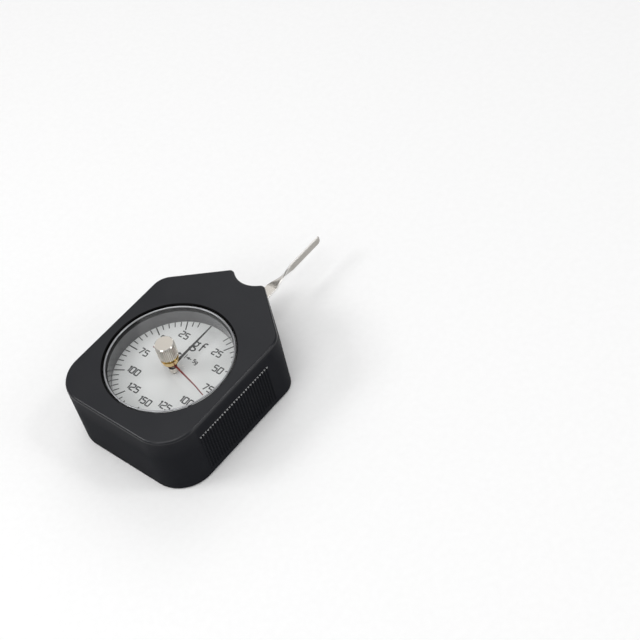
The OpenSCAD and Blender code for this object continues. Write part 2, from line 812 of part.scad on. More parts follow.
// Section of the lever at y: turned about its own line, with bevelled edges
function lever_turn(y) =
    90 * pow(max(0, min(1, (y - twist_start) / (twist_end - twist_start))), twist_delay);
function lever_half(y) =
    lever_root_w / 2 + (lever_blade_w - lever_root_w) / 2 * smooth((y - taper_start) / taper_len);
function tip_rise(y) =
    let (s = max(0, y - lever_reach + tip_r))
    tip_r - sqrt(max(0, tip_r * tip_r - s * s));
function lever_section(y) =
    let (low = -lever_half(y) + tip_low_share * tip_rise(y))
    let (high = lever_half(y) - tip_high_share * tip_rise(y))
    let (side = lever_t / 2)
    let (b = lever_bevel)
    let (c = cos(lever_turn(y)))
    let (s = sin(lever_turn(y)))
    [for (p = [
        [high - b, -side], [low + b, -side], [low, b - side], [low, side - b],
        [low + b, side], [high - b, side], [high, side - b], [high, b - side]
    ]) [p[0] * c - p[1] * s, y, lever_zc + p[0] * s + p[1] * c]];

module lever_blade() {
    twist_steps = 16;
    tip_steps = 6;
    tip_sweep = 85;
    stations = concat(
        [pivot_y - lever_tail],
        [for (i = [0 : twist_steps]) twist_start + (twist_end - twist_start) * i / twist_steps],
        [for (i = [0 : tip_steps]) lever_reach - tip_r + tip_r * sin(tip_sweep * i / tip_steps)]
    );
    color(nickel) difference() {
        loft([for (y = stations) lever_section(y)]);
        at_pivot() disc(lever_shaft_r + press_gap, lever_z0 - cut, lever_z1 + cut);
        at_rivets() disc(rivet_r + press_gap, lever_z0 - cut, lever_z1 + cut);
    }
}

module at_rivets() {
    for (side = [-1, 1]) translate([0, pivot_y + side * rivet_reach, 0]) children();
}

module lever_carrier() {
    color(steel) difference() {
        translate([0, 0, sector_z1]) linear_extrude(lever_z0 - sector_z1) {
            translate([-lever_root_w / 2, pivot_y - lever_tail]) square([lever_root_w, 2 * lever_tail]);
            translate([0, pivot_y]) circle(carrier_r);
        }
        at_pivot() disc(lever_shaft_r + press_gap, sector_z1 - cut, lever_z0 + cut);
        at_rivets() disc(rivet_r + press_gap, sector_z1 - cut, lever_z0 + cut);
    }
}

module lever_rivets() {
    color(nickel) at_rivets() {
        disc(rivet_r, sector_z0, lever_z1);
        disc(rivet_head_r, lever_z1, lever_z1 + rivet_head_h);
    }
}

module lever_shaft() {
    color(steel) at_pivot() {
        disc(lever_shaft_r, shaft_z0, shaft_z1);
        disc(lever_pivot_r, lower_z0 - bush_proud, shaft_z0);
        disc(lever_pivot_r, shaft_z1, upper_z1);
    }
}

// Toothed edge of the sector seen from its pivot, from one side to the other
function sector_tooth(middle) = [
    for (p = [[-dedendum, -1], [addendum, -1], [addendum, 1], [-dedendum, 1]])
        let (half = tooth_w / 2 - p[0] * tan(pressure_angle))
        let (r = sector_r + p[0])
        let (a = middle + p[1] * half / r * 180 / PI)
        r * [sin(a), -cos(a)]
];
function sector_edge() = flat([
    for (i = [0 : sector_teeth - 1]) sector_tooth((i - (sector_teeth - 1) / 2) * tooth_pitch)
]);
function sector_arc(r, a0, a1) = [
    for (i = [0 : arc_steps]) let (a = a0 + (a1 - a0) * i / arc_steps) r * [sin(a), -cos(a)]
];

// Window of the sector between its middle spoke and one of its edges
function sector_window(side) =
    let (outer_r = sector_r - dedendum - sector_rim)
    let (inner_r = (1.5 * sector_spoke + sector_window_foot) / sin(sector_half_angle))
    concat(
        sector_arc(outer_r, side * asin(sector_spoke / 2 / outer_r), side * window_edge(outer_r)),
        sector_arc(inner_r, side * window_edge(inner_r), side * asin(sector_spoke / 2 / inner_r))
    );
function window_edge(r) = sector_half_angle - asin(sector_spoke / r);

module sector_gear() {
    color(brass) at_pivot() translate([0, 0, sector_z0]) linear_extrude(sector_t) difference() {
        union() {
            polygon(concat([[0, 0]], sector_edge()));
            circle(sector_hub_r);
        }
        circle(lever_shaft_r + press_gap);
        for (side = [-1, 1]) {
            translate([0, side * rivet_reach]) circle(rivet_r + press_gap);
            polygon(sector_window(side));
        }
    }
}

module measuring_spring_collet() {
    color(brass) at_pivot() tube(measuring_collet_r, lever_shaft_r + press_gap, shaft_z0, sector_z0);
}

module pointer_arbor() {
    color(steel) {
        disc(arbor_pivot_r, lower_z0 - bush_proud, lower_z1 + bush_proud + end_play);
        disc(arbor_r, lower_z1 + bush_proud + end_play, pointer_z1);
    }
}

// Involute tooth of the pinion that points along +Y
base_r = pinion_r * cos(pressure_angle);
function involute(a) = tan(a) * 180 / PI - a;
function flank_angle(r) =
    tooth_w / 2 / pinion_r * 180 / PI + involute(pressure_angle) - involute(acos(min(1, base_r / r)));
flank_radii = [
    pinion_r - dedendum, base_r, (base_r + pinion_r) / 2,
    pinion_r, pinion_r + addendum / 2, pinion_r + addendum
];
function pinion_tooth(middle) = concat(
    [for (r = flank_radii) r * [sin(middle - flank_angle(r)), cos(middle - flank_angle(r))]],
    [for (i = [len(flank_radii) - 1 : -1 : 0])
        let (r = flank_radii[i])
        r * [sin(middle + flank_angle(r)), cos(middle + flank_angle(r))]]
);

module pinion() {
    color(brass) translate([0, 0, pinion_z0]) linear_extrude(pinion_t) difference() {
        polygon(flat([for (i = [0 : pinion_teeth - 1]) pinion_tooth(i * 360 / pinion_teeth)]));
        circle(arbor_r + press_gap);
    }
}

module hairspring_collet() {
    color(brass) tube(hairspring_collet_r, arbor_r + press_gap, pinion_z1, hairspring_z1);
}

module pointer_hub() {
    color(brass) difference() {
        union() {
            disc(pointer_hub_r, pointer_z0 - pointer_hub_h, pointer_z0);
            disc(pointer_spigot_r, pointer_z0, pointer_z1);
        }
        disc(arbor_r + press_gap, pointer_z0 - pointer_hub_h - cut, pointer_z1 + cut);
    }
}

module measuring_pointer() {
    color("#151515") translate([0, 0, pointer_z0]) linear_extrude(pointer_t) difference() {
        union() {
            circle(pointer_hub_r);
            polygon([
                [-pointer_root_w / 2, 0],
                [pointer_root_w / 2, 0],
                [pointer_tip_w / 2, pointer_len],
                [-pointer_tip_w / 2, pointer_len]
            ]);
        }
        circle(pointer_spigot_r + press_gap);
    }
}

// Points round the knurl
function knurl() = [
    for (i = [0 : 2 * knurl_count - 1])
        let (r = knob_r - (i % 2) * knurl_depth)
        r * [cos(180 * i / knurl_count), sin(180 * i / knurl_count)]
];

module reset_knob() {
    color(nickel) difference() {
        intersection() {
            translate([0, 0, knob_z0]) linear_extrude(knob_h) polygon(knurl());
            rotate_extrude() polygon([
                [0, knob_z0],
                [knob_r - knob_chamfer, knob_z0],
                [knob_r + knob_chamfer, knob_z0 + 2 * knob_chamfer],
                [knob_r + knob_chamfer, knob_z1 - 2 * knob_chamfer],
                [knob_r - knob_chamfer, knob_z1],
                [0, knob_z1]
            ]);
        }
        disc(stem_r + press_gap, knob_z0 - cut, knob_z0 + stem_bite);
    }
}

module reset_stem() {
    color(steel) disc(stem_r, peak_hub_z0, knob_z0 + stem_bite - press_gap);
}

module friction_washer() {
    color("#3a2f28") tube(washer_r, stem_r + press_gap, washer_z0, knob_z0);
}

module peak_pointer_hub() {
    color(nickel) tube(peak_hub_r, stem_r + press_gap, peak_hub_z0, peak_hub_z1);
}

// The peak pointer from the side, along its own line, and from above
function peak_profile() = [
    [-peak_tail - cut, peak_z0], [peak_bend_at, peak_z0], [peak_len + cut, peak_z0 - peak_end_drop()],
    [peak_len + cut, peak_z1 - peak_end_drop()], [peak_bend_at, peak_z1], [-peak_tail - cut, peak_z1]
];
function peak_end_drop() = peak_bend_drop * (peak_len + cut - peak_bend_at) / (peak_len - peak_bend_at);

module peak_pointer() {
    color("#a8262a") rotate(90 - peak_angle) difference() {
        intersection() {
            rotate([90, 0, 0]) linear_extrude(4 * peak_eye_r, center = true) polygon(peak_profile());
            translate([0, 0, peak_z0 - 2 * peak_bend_drop])
                linear_extrude(2 * peak_bend_drop + 2 * peak_t) {
                    circle(peak_eye_r);
                    translate([-peak_tail, -peak_tail_w / 2]) square([peak_tail, peak_tail_w]);
                    polygon([
                        [0, -peak_root_w / 2],
                        [peak_len, -peak_tip_w / 2],
                        [peak_len, peak_tip_w / 2],
                        [0, peak_root_w / 2]
                    ]);
                }
        }
        disc(peak_hub_r + press_gap, peak_z0 - cut, peak_z1 + cut);
    }
}

front_housing();
rear_cover();
cover_screws();
crystal();
crystal_ring();
dial_ring();
dial_plate();
upper_plate();
lower_plate();
plate_pillars();
pillar_screws();
plate_screws();
arbor_lower_bush();
arbor_upper_bush();
lever_lower_bush();
lever_upper_bush();
hairspring_stud();
measuring_spring_stud();
stop_pins();
hairspring();
measuring_spring();
knob_bush();
lever_blade();
lever_carrier();
lever_rivets();
lever_shaft();
sector_gear();
measuring_spring_collet();
pointer_arbor();
pinion();
hairspring_collet();
pointer_hub();
measuring_pointer();
reset_knob();
reset_stem();
friction_washer();
peak_pointer_hub();
peak_pointer();
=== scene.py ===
"""Looks of the dial tension gauge: the finish of its parts, the printed dial, floor, light and camera."""
import json
import math

import bmesh
import bpy
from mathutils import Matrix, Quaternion, Vector


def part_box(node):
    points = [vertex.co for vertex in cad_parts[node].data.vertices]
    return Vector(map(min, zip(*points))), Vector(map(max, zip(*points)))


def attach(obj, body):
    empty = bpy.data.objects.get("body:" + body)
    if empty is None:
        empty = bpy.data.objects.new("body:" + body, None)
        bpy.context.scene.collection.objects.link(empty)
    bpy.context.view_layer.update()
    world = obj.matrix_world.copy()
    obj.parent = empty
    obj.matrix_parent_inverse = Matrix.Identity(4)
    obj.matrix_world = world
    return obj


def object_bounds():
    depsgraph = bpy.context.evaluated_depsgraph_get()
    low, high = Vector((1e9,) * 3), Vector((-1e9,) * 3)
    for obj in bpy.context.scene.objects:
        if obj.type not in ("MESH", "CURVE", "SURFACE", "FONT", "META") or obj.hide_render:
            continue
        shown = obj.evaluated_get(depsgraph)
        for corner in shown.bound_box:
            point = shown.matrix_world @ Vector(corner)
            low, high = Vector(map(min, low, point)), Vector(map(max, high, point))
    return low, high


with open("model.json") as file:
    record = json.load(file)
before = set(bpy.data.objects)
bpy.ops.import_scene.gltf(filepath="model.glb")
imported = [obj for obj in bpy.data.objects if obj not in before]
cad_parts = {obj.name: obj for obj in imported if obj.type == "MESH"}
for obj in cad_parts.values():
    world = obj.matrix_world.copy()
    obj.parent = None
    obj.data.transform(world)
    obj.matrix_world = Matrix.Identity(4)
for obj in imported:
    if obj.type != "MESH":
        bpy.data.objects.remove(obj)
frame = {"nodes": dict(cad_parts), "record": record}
CAD_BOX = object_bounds()
NODES = frame["nodes"]
SLOT_OF = {p["node"]: p["material_slot"] for p in frame["record"]["subparts"]}

# Lengths below are in millimetres in the part's own frame, and MM turns them into metres
MM = 0.001

# Camera: place, the point it looks at, roll in degrees, and focal length in pixels of the 640-pixel frame
CAMERA_PLACE = (312.44, -188.75, 430.64)
CAMERA_TARGET = (37.37, 42.13, 28.0)
CAMERA_ROLL = 14.74
FRAME_PIXELS = 640
FOCAL_PIXELS = 1491.7
SENSOR_WIDTH = 36

# Light: the world's level, the point that the soft boxes face, and each one's place, size and power in watts
WORLD_LEVEL = 0.36
AIM = (0, 10, 20)
SOFT_BOXES = {
    "key_box": ((60, -200, 1080), 800, 4.2),
    "back_box": ((-450, 665, 790), 720, 1.5),
    "left_box": ((-560, -570, 750), 350, 2.6),
    "rib_spot": ((590, 395, 895), 150, 0.9),
    "rim_left": ((70, -890, 680), 380, 1.0),
    "rim_right": ((815, 387, 669), 220, 0.45),
    "side_box": ((1000, 480, 190), 600, 1.6),
}

# Floor: its side, its drop below the case, and the distances from the dial axis over which it turns white
FLOOR_SIZE = 40000
FLOOR_DROP = 0.05
FLOOR_FADE = (350, 1300)

# Case: how much its sides and its face mirror, the roughness of its edges and of the ribs' worn ends, the
# upward slopes between which an edge goes over into the face, and the height of the ribs
SIDE_SHEEN = 0.06
FACE_SHEEN = 0.34
EDGE_POLISH = 0.24
RIB_POLISH = 0.14
FACE_TILT = (0.94, 0.985)
RIB_HEIGHT = 0.45

# Painted shade, a black edge round the window: radii over which it ends, and depths below the face over
# which it fades
WINDOW_EDGE = (25.52, 25.64)
WINDOW_DEPTHS = (3, 6)

# Depth of the knob's knurl, across which painted groove shade turns to painted ridge highlight; radii over
# which the painted shade in the bush's groove ends; depths below the bush's top between which its step of
# painted reflections ends
KNURL_DEPTH = 0.25
GROOVE_RADII = (2.82, 3.05)
STEP_DEPTHS = (0.55, 0.66)

# Lever's painted edge highlight: height of the line it twists about, where it narrows, half its width before
# and after that, and the distances from its rim over which a flat goes over into the painted highlight along
# its edge
LEVER_LINE = 12.6
LEVER_TAPER = (59, 64)
LEVER_HALF = (2.4, 1.7)
LEVER_EDGE = (0.3, 0.12)

# Width of lathe marks, and the part of a noise's range that most of it lies in
LATHE_PITCH = 0.08
NOISE_MIDDLE = (0.3, 0.7)

# Edges: distance within which corners are joined, and in degrees the least angle of a crease, the most in a
# flat face and the least of an edge that is rounded
WELD_REACH = 0.0005
CREASE_ANGLE = 30
FLAT_ANGLE = 0.5
ROUNDED_ANGLE = 35
# Faces along a rounding, how far large faces decide the shading beside it, and the rounding of each part
ROUNDING_STEPS = 2
FLAT_WEIGHT = 100
EDGE_ROUNDING = {
    "knob_bush": 0.06, "peak_pointer_hub": 0.05, "pointer_hub": 0.05,
    "lever_blade": 0.04, "cover_screws": 0.05,
}
# Parts that have their roundings in their solids
CREASED_PARTS = ("front_housing", "rear_cover")

# Ink: the height of the dial, the ink's thickness, and a limit to how far a stroke's mitre reaches out
DIAL_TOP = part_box("dial_plate")[1].z / MM
PRINT_HEIGHT = 0.03
MITRE_SHARE = 0.5

# Scale: two-way, with a tick for every step on both sides of zero, apart from the first few
DEGREES_PER_GRAM = 1.2
SCALE_FIRST, SCALE_LAST, SCALE_STEP, SCALE_MAJOR = 15, 150, 5, 25
TICK_OUTER = 23.5
TICK_INNER = {"minor": 21.2, "major": 19.4}
TICK_WIDTH = {"minor": 0.38, "major": 0.46}

# Numbers: size of a full digit, gap, stroke, corner radius, and the middle of each on the right-hand side
DIGIT_SIZE = (1.56, 2.62)
DIGIT_GAP = 0.72
DIGIT_STROKE = 0.49
DIGIT_CORNER = 0.3
NUMBER_PLACES = {
    25: (8.35, 14.7), 50: (13.7, 9.0), 75: (16.3, 0.5),
    100: (13.45, -8.1), 125: (7.95, -14.0), 150: (0, -16.25),
}
# Strokes of the digits in a unit box, whether each closes, and its share of a full digit's width
DIGITS = {
    "0": ([(0, 0), (1, 0), (1, 1), (0, 1)], True, 1),
    "1": ([(0, 0.8), (1, 1), (1, 0)], False, 0.35),
    "2": ([(0, 1), (1, 1), (1, 0.58), (0, 0.38), (0, 0), (1, 0)], False, 1),
    "5": ([(1, 1), (0, 1), (0, 0.56), (1, 0.56), (1, 0), (0, 0)], False, 1),
    "7": ([(0, 1), (1, 1), (0.36, 0)], False, 1),
}

# Unit, gram-force: the middle of the g's bowl, and from there each ring's middle and radii, the hook's
# middle, radii and angles, and the open strokes
UNIT_PLACE = (-1.45, 13.8)
UNIT_STROKE = 0.58
G_RINGS = [((0, 0), (1.0, 1.05)), ((0.1, -2.45), (1.35, 0.85))]
G_LINK = [(-0.65, -0.85), (-0.9, -1.25), (-0.55, -1.75)]
G_EAR = [(0.65, 0.8), (1.05, 1.15), (1.45, 1.15)]
F_FOOT = (3.1, -2.0)
F_HOOK = ((3.75, 1.35), (0.8, 0.8), 180, 55)
F_BAR = [(2.5, 0.6), (4.2, 0.6)]

# Legend of one graduation: its level, and from there the ends of its bars, two arrows as bar, tip and tail,
# and an arrowhead's length, half width and the share of it that the arrow's line starts at
LEGEND_LEVEL = 7.2
LEGEND_STROKE = 0.36
LEGEND_BAR = (-0.85, 1.15)
LEGEND_ARROWS = [(-2.4, -2.65, -4.9), (-1.0, -0.75, 1.85)]
HEAD_LENGTH, HEAD_HALF, HEAD_SHARE = 1.7, 0.6, 0.8
# The graduation's value in grams: a digit and a g
LEGEND_VALUE = "5"
VALUE_PLACE, VALUE_SIZE = (3.35, 0.1), (0.85, 1.4)
GRAM_RING = ((4.6, -0.1), (0.4, 0.45))
GRAM_STEM = [(5.0, 0.35), (5.0, -0.9)]
GRAM_HOOK = ((4.65, -0.9), (0.35, 0.35), -30, -150)


# Node helpers

def new_material(name):
    material = bpy.data.materials.new(name)
    material.use_nodes = True
    tree = material.node_tree
    return material, tree, tree.nodes["Principled BSDF"]


def fill(node, **inputs):
    """Sets plain values on a node's own sockets."""
    for key, value in inputs.items():
        node.inputs[key.replace("_", " ")].default_value = value


def add(tree, kind, settings=None, **inputs):
    """A new node with its settings and the values of its inputs."""
    made = tree.nodes.new(kind)
    for key, value in (settings or {}).items():
        setattr(made, key, value)
    fill(made, **inputs)
    return made


def feed(tree, socket, value):
    """Gives a socket a plain value, or links another node's output to it."""
    if isinstance(value, bpy.types.NodeSocket):
        tree.links.new(value, socket)
    else:
        socket.default_value = value


def combine(tree, operation, first, second):
    """A sum, product or the like of two numbers, each of them plain or another node's value."""
    made = add(tree, "ShaderNodeMath", {"operation": operation})
    feed(tree, made.inputs[0], first)
    feed(tree, made.inputs[1], second)
    return made.outputs[0]


def ramp(tree, value, low, high):
    """Runs from 0 to 1 while a value goes from low to high."""
    spread = add(tree, "ShaderNodeMapRange", From_Min=low, From_Max=high)
    tree.links.new(value, spread.inputs["Value"])
    return spread.outputs["Result"]


def blend_numbers(tree, factor, first, second):
    """A number between two, each of them plain or another node's value."""
    made = add(tree, "ShaderNodeMapRange")
    feed(tree, made.inputs["To Min"], first)
    feed(tree, made.inputs["To Max"], second)
    tree.links.new(factor, made.inputs["Value"])
    return made.outputs["Result"]


def blend_colours(tree, factor, first, second):
    """A colour between two, each of them three numbers or another node's colour."""
    mix = add(tree, "ShaderNodeMix", {"data_type": "RGBA"})
    for socket, colour in ((mix.inputs["A"], first), (mix.inputs["B"], second)):
        feed(tree, socket, (*colour, 1) if isinstance(colour, tuple) else colour)
    tree.links.new(factor, mix.inputs["Factor"])
    return mix.outputs["Result"]


def vary(tree, noise, low, high):
    """A number that wanders from low to high as a noise does."""
    return blend_numbers(tree, ramp(tree, noise, *NOISE_MIDDLE), low, high)


def mottle(tree, noise, colours):
    """A colour that wanders between two as a noise does."""
    return blend_colours(tree, ramp(tree, noise, *NOISE_MIDDLE), *colours)


def place_parts(tree):
    """Outputs X, Y and Z of the place on a part, in metres in the part's own frame."""
    parts = add(tree, "ShaderNodeSeparateXYZ")
    tree.links.new(add(tree, "ShaderNodeTexCoord").outputs["Object"], parts.inputs[0])
    return parts.outputs


def length_of(tree, first, second):
    """Length of a vector that has two given parts."""
    vector = add(tree, "ShaderNodeCombineXYZ")
    length = add(tree, "ShaderNodeVectorMath", {"operation": "LENGTH"})
    tree.links.new(first, vector.inputs["X"])
    tree.links.new(second, vector.inputs["Y"])
    tree.links.new(vector.outputs[0], length.inputs[0])
    return length.outputs["Value"]


def axis_distance(tree):
    """Distance from the dial axis, and height along it, in metres."""
    place = place_parts(tree)
    return length_of(tree, place["X"], place["Y"]), place["Z"]


def facing_up(tree, low=0.5, high=0.7):
    """1 on faces that look along the dial axis, and 0 on upright ones."""
    parts = add(tree, "ShaderNodeSeparateXYZ")
    tree.links.new(add(tree, "ShaderNodeTexCoord").outputs["Normal"], parts.inputs[0])
    return ramp(tree, parts.outputs["Z"], low, high)


def grain(tree, size, stretch=(1, 1, 1), detail=3):
    """Noise whose spots are about size millimetres wide, drawn out along an axis where stretch is over 1."""
    mapping = add(tree, "ShaderNodeMapping", Scale=[1 / s for s in stretch])
    noise = add(tree, "ShaderNodeTexNoise", Scale=1 / (size * MM), Detail=detail)
    tree.links.new(add(tree, "ShaderNodeTexCoord").outputs["Object"], mapping.inputs["Vector"])
    tree.links.new(mapping.outputs["Vector"], noise.inputs["Vector"])
    return noise.outputs["Fac"]


def lathe_marks(tree):
    """Noise in rings round the dial axis."""
    settings = {"noise_dimensions": "1D"}
    noise = add(tree, "ShaderNodeTexNoise", settings, Scale=1 / (LATHE_PITCH * MM), Detail=2)
    tree.links.new(combine(tree, "ADD", *axis_distance(tree)), noise.inputs["W"])
    return noise.outputs["Fac"]


def drawn_marks(tree):
    """Noise in long streaks, as drawn strip has them."""
    return grain(tree, size=0.1, stretch=(1, 40, 1))


def scratches(tree):
    return grain(tree, size=0.25, stretch=(1, 1, 4))


def paint(tree, shader, colour, roughness):
    tree.links.new(colour, shader.inputs["Base Color"])
    tree.links.new(roughness, shader.inputs["Roughness"])


def bump(tree, shader, height, depth, strength):
    """Bump of the given depth in millimetres on a shader."""
    made = add(tree, "ShaderNodeBump", Strength=strength, Distance=depth * MM)
    tree.links.new(height, made.inputs["Height"])
    tree.links.new(made.outputs["Normal"], shader.inputs["Normal"])


def show_mix(tree, factor, first, second):
    """Shows a mix of two shaders on the surface."""
    mix = add(tree, "ShaderNodeMixShader")
    tree.links.new(factor, mix.inputs["Fac"])
    tree.links.new(first, mix.inputs[1])
    tree.links.new(second, mix.inputs[2])
    tree.links.new(mix.outputs["Shader"], tree.nodes["Material Output"].inputs["Surface"])


# Finishes

def window_edge(tree):
    """1 on the band of painted shade round the window, near the face, and 0 on the rest of the case."""
    radius, height = axis_distance(tree)
    face_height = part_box("front_housing")[1].z
    near_face = ramp(tree, height, face_height - WINDOW_DEPTHS[1] * MM, face_height - WINDOW_DEPTHS[0] * MM)
    inside = ramp(tree, radius, WINDOW_EDGE[1] * MM, WINDOW_EDGE[0] * MM)
    return combine(tree, "MULTIPLY", near_face, inside)


def worn_ribs(tree):
    """1 on the ribs' upper ends, which hands have polished, and 0 on the rest of the case."""
    side = add(tree, "ShaderNodeMath", {"operation": "ABSOLUTE"})
    tree.links.new(place_parts(tree)["X"], side.inputs[0])
    rib_top = CAD_BOX[1].x
    rib = ramp(tree, side.outputs[0], rib_top - RIB_HEIGHT * MM, rib_top - RIB_HEIGHT / 2 * MM)
    return combine(tree, "MULTIPLY", rib, facing_up(tree, low=0.1, high=0.3))


def case_plastic():
    """Charcoal moulded plastic, faintly cloudy: a silk face, matte sides, polished edges and rib ends, and
    painted shade in black round the window.
    """
    charcoal = (0.0105, 0.0113, 0.0145), (0.0135, 0.0143, 0.0175)
    window_shade_black = (0.002, 0.002, 0.002)
    silk, matte = (0.4, 0.56), (0.6, 0.75)
    material, tree, shader = new_material("case_plastic")
    cloud = grain(tree, size=14, detail=4)
    fine = grain(tree, size=0.22, detail=2)
    window_shade, worn = window_edge(tree), worn_ribs(tree)
    face = facing_up(tree, low=0.05, high=0.2)
    front = blend_numbers(tree, facing_up(tree, *FACE_TILT), EDGE_POLISH, vary(tree, fine, *silk))
    moulded = blend_numbers(tree, face, vary(tree, fine, *matte), front)
    sheen = blend_numbers(tree, combine(tree, "MAXIMUM", face, worn), SIDE_SHEEN, FACE_SHEEN)
    # The band round the window gets painted shade in black
    colour = blend_colours(tree, window_shade, mottle(tree, cloud, charcoal), window_shade_black)
    paint(tree, shader, colour, blend_numbers(tree, worn, moulded, RIB_POLISH))
    tree.links.new(blend_numbers(tree, window_shade, sheen, SIDE_SHEEN), shader.inputs["Specular IOR Level"])
    bump(tree, shader, fine, depth=0.012, strength=0.5)
    return material


def dial_paint():
    """Silvery white dial enamel with a silk grain."""
    white = (0.715, 0.715, 0.71), (0.745, 0.745, 0.74)
    silk = (0.42, 0.6)
    material, tree, shader = new_material("dial_paint")
    fine = grain(tree, size=0.12, detail=2)
    paint(tree, shader, mottle(tree, grain(tree, size=9), white), vary(tree, fine, *silk))
    bump(tree, shader, fine, depth=0.004, strength=0.4)
    return material


def wall_satin():
    """Grey ring wall, smooth enough to mirror the scale at a low angle, with painted shade in black on its
    top face under the crystal.
    """
    grey = (0.112, 0.112, 0.117), (0.135, 0.135, 0.14)
    black = (0.012, 0.012, 0.013)
    smooth_wall = (0.08, 0.16)
    material, tree, shader = new_material("wall_satin")
    streak = grain(tree, size=0.3, stretch=(6, 6, 1))
    # Faces that look up, the ring's top under the crystal, get painted shade in black
    colour = blend_colours(tree, facing_up(tree), mottle(tree, streak, grey), black)
    paint(tree, shader, colour, vary(tree, streak, *smooth_wall))
    fill(shader, Specular_IOR_Level=0.7)
    return material


def metal(name, colours, roughness, marks, depth):
    """Bare or plated metal: colour and gloss follow its tool marks."""
    material, tree, shader = new_material(name)
    height = marks(tree)
    paint(tree, shader, mottle(tree, height, colours), vary(tree, height, *roughness))
    fill(shader, Metallic=1.0)
    bump(tree, shader, height, depth, strength=0.6)
    return material


def knob_plate():
    """Nickel plate on a knurl, with painted shade in its grooves and painted highlights on its ridges and
    rim, and a finely turned top.
    """
    groove_shade, ridge_highlight, rim_highlight = (0.40, 0.36, 0.315), (0.98, 0.93, 0.86), (0.97, 0.95, 0.91)
    top_plate = (0.68, 0.635, 0.57), (0.76, 0.715, 0.65)
    polished, satin = (0.16, 0.24), (0.28, 0.42)
    material, tree, shader = new_material("knob_plate")
    marks = lathe_marks(tree)
    radius, _ = axis_distance(tree)
    knob_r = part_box("reset_knob")[1].x
    ridge = ramp(tree, radius, knob_r - KNURL_DEPTH * MM, knob_r)
    rim = facing_up(tree, low=0.3, high=0.5)
    top = facing_up(tree, low=0.85, high=0.95)
    # Knurl: painted shade in the grooves, and painted highlight on the ridges and on the rim
    knurl = blend_colours(tree, ridge, groove_shade, ridge_highlight)
    shaped = blend_colours(tree, rim, knurl, rim_highlight)
    colour = blend_colours(tree, top, shaped, mottle(tree, marks, top_plate))
    roughness = blend_numbers(tree, top, vary(tree, marks, *polished), vary(tree, marks, *satin))
    paint(tree, shader, colour, roughness)
    fill(shader, Metallic=1.0)
    bump(tree, shader, marks, depth=0.004, strength=0.4)
    return material


def lever_rim(tree):
    """1 along the lever's edges, where a highlight is painted, and 0 on its flats, before, in and after the
    twist.
    """
    place = place_parts(tree)
    across = length_of(tree, place["X"], combine(tree, "SUBTRACT", place["Z"], LEVER_LINE * MM))
    taper = ramp(tree, place["Y"], LEVER_TAPER[0] * MM, LEVER_TAPER[1] * MM)
    half = blend_numbers(tree, taper, LEVER_HALF[0] * MM, LEVER_HALF[1] * MM)
    return ramp(tree, combine(tree, "SUBTRACT", half, across), LEVER_EDGE[0] * MM, LEVER_EDGE[1] * MM)


def lever_plate():
    """Nickel-plated spring steel: satin flats with drawn marks, painted shade on the upright flank, and
    painted highlights along the edges.
    """
    root = (0.52, 0.49, 0.45), (0.60, 0.57, 0.53)
    flank_shade = (0.36, 0.34, 0.315), (0.46, 0.44, 0.41)
    edge_highlight = (0.72, 0.705, 0.68)
    satin = (0.18, 0.32)
    material, tree, shader = new_material("lever_plate")
    marks = drawn_marks(tree)
    # The upright flank gets painted shade, and the edges a painted highlight
    flats_with_shade = blend_colours(tree, facing_up(tree), mottle(tree, marks, flank_shade), mottle(tree, marks, root))
    paint(tree, shader, blend_colours(tree, lever_rim(tree), flats_with_shade, edge_highlight), vary(tree, marks, *satin))
    fill(shader, Metallic=1.0)
    bump(tree, shader, marks, depth=0.002, strength=0.5)
    return material


def bush_brass():
    """Turned brass: a rubbed flange, painted shade in the groove, and a step with painted dark and bright
    reflection patches.
    """
    rubbed = (0.80, 0.58, 0.29), (0.89, 0.67, 0.36)
    painted_reflections = (0.20, 0.12, 0.03), (0.95, 0.74, 0.28)
    groove_shade = (0.16, 0.095, 0.025)
    polished = (0.12, 0.22)
    material, tree, shader = new_material("bush_brass")
    marks = lathe_marks(tree)
    reflection_patches = grain(tree, size=1.2, stretch=(1, 1, 8), detail=1)
    radius, height = axis_distance(tree)
    bush_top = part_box("knob_bush")[1].z
    step = ramp(tree, height, bush_top - STEP_DEPTHS[1] * MM, bush_top - STEP_DEPTHS[0] * MM)
    out_of_groove_shade = ramp(tree, radius, GROOVE_RADII[0] * MM, GROOVE_RADII[1] * MM)
    # Painted dark and bright reflection patches on the step, and painted shade in the groove
    brass_with_reflections = blend_colours(tree, step, mottle(tree, marks, rubbed), mottle(tree, reflection_patches, painted_reflections))
    paint(tree, shader, blend_colours(tree, out_of_groove_shade, groove_shade, brass_with_reflections), vary(tree, marks, *polished))
    fill(shader, Metallic=1.0)
    bump(tree, shader, marks, depth=0.003, strength=0.6)
    return material


def enamel(name, colours):
    """Brushed-on enamel or ink, with a little orange peel."""
    semi_gloss = (0.32, 0.5)
    material, tree, shader = new_material(name)
    peel = grain(tree, size=0.35)
    paint(tree, shader, mottle(tree, peel, colours), vary(tree, peel, *semi_gloss))
    bump(tree, shader, peel, depth=0.006, strength=0.5)
    return material


def crystal_clear():
    """Clear crystal: sharp to look through, its outer faces mirror a little, with faint wiping marks."""
    wiped = (0.02, 0.07)
    material, tree, shader = new_material("crystal_clear")
    wipe = grain(tree, size=5, stretch=(1, 6, 1))
    clear = add(tree, "ShaderNodeBsdfTransparent", Color=(0.985, 0.99, 0.99, 1))
    mirror = add(tree, "ShaderNodeFresnel", IOR=1.45)
    inside = add(tree, "ShaderNodeNewGeometry").outputs["Backfacing"]
    outer = add(tree, "ShaderNodeMath", {"operation": "SUBTRACT", "use_clamp": True})
    fill(shader, Base_Color=(1, 1, 1, 1), Metallic=1.0)
    tree.links.new(vary(tree, wipe, *wiped), shader.inputs["Roughness"])
    tree.links.new(mirror.outputs["Fac"], outer.inputs[0])
    tree.links.new(inside, outer.inputs[1])
    show_mix(tree, outer.outputs[0], clear.outputs["BSDF"], shader.outputs["BSDF"])
    return material


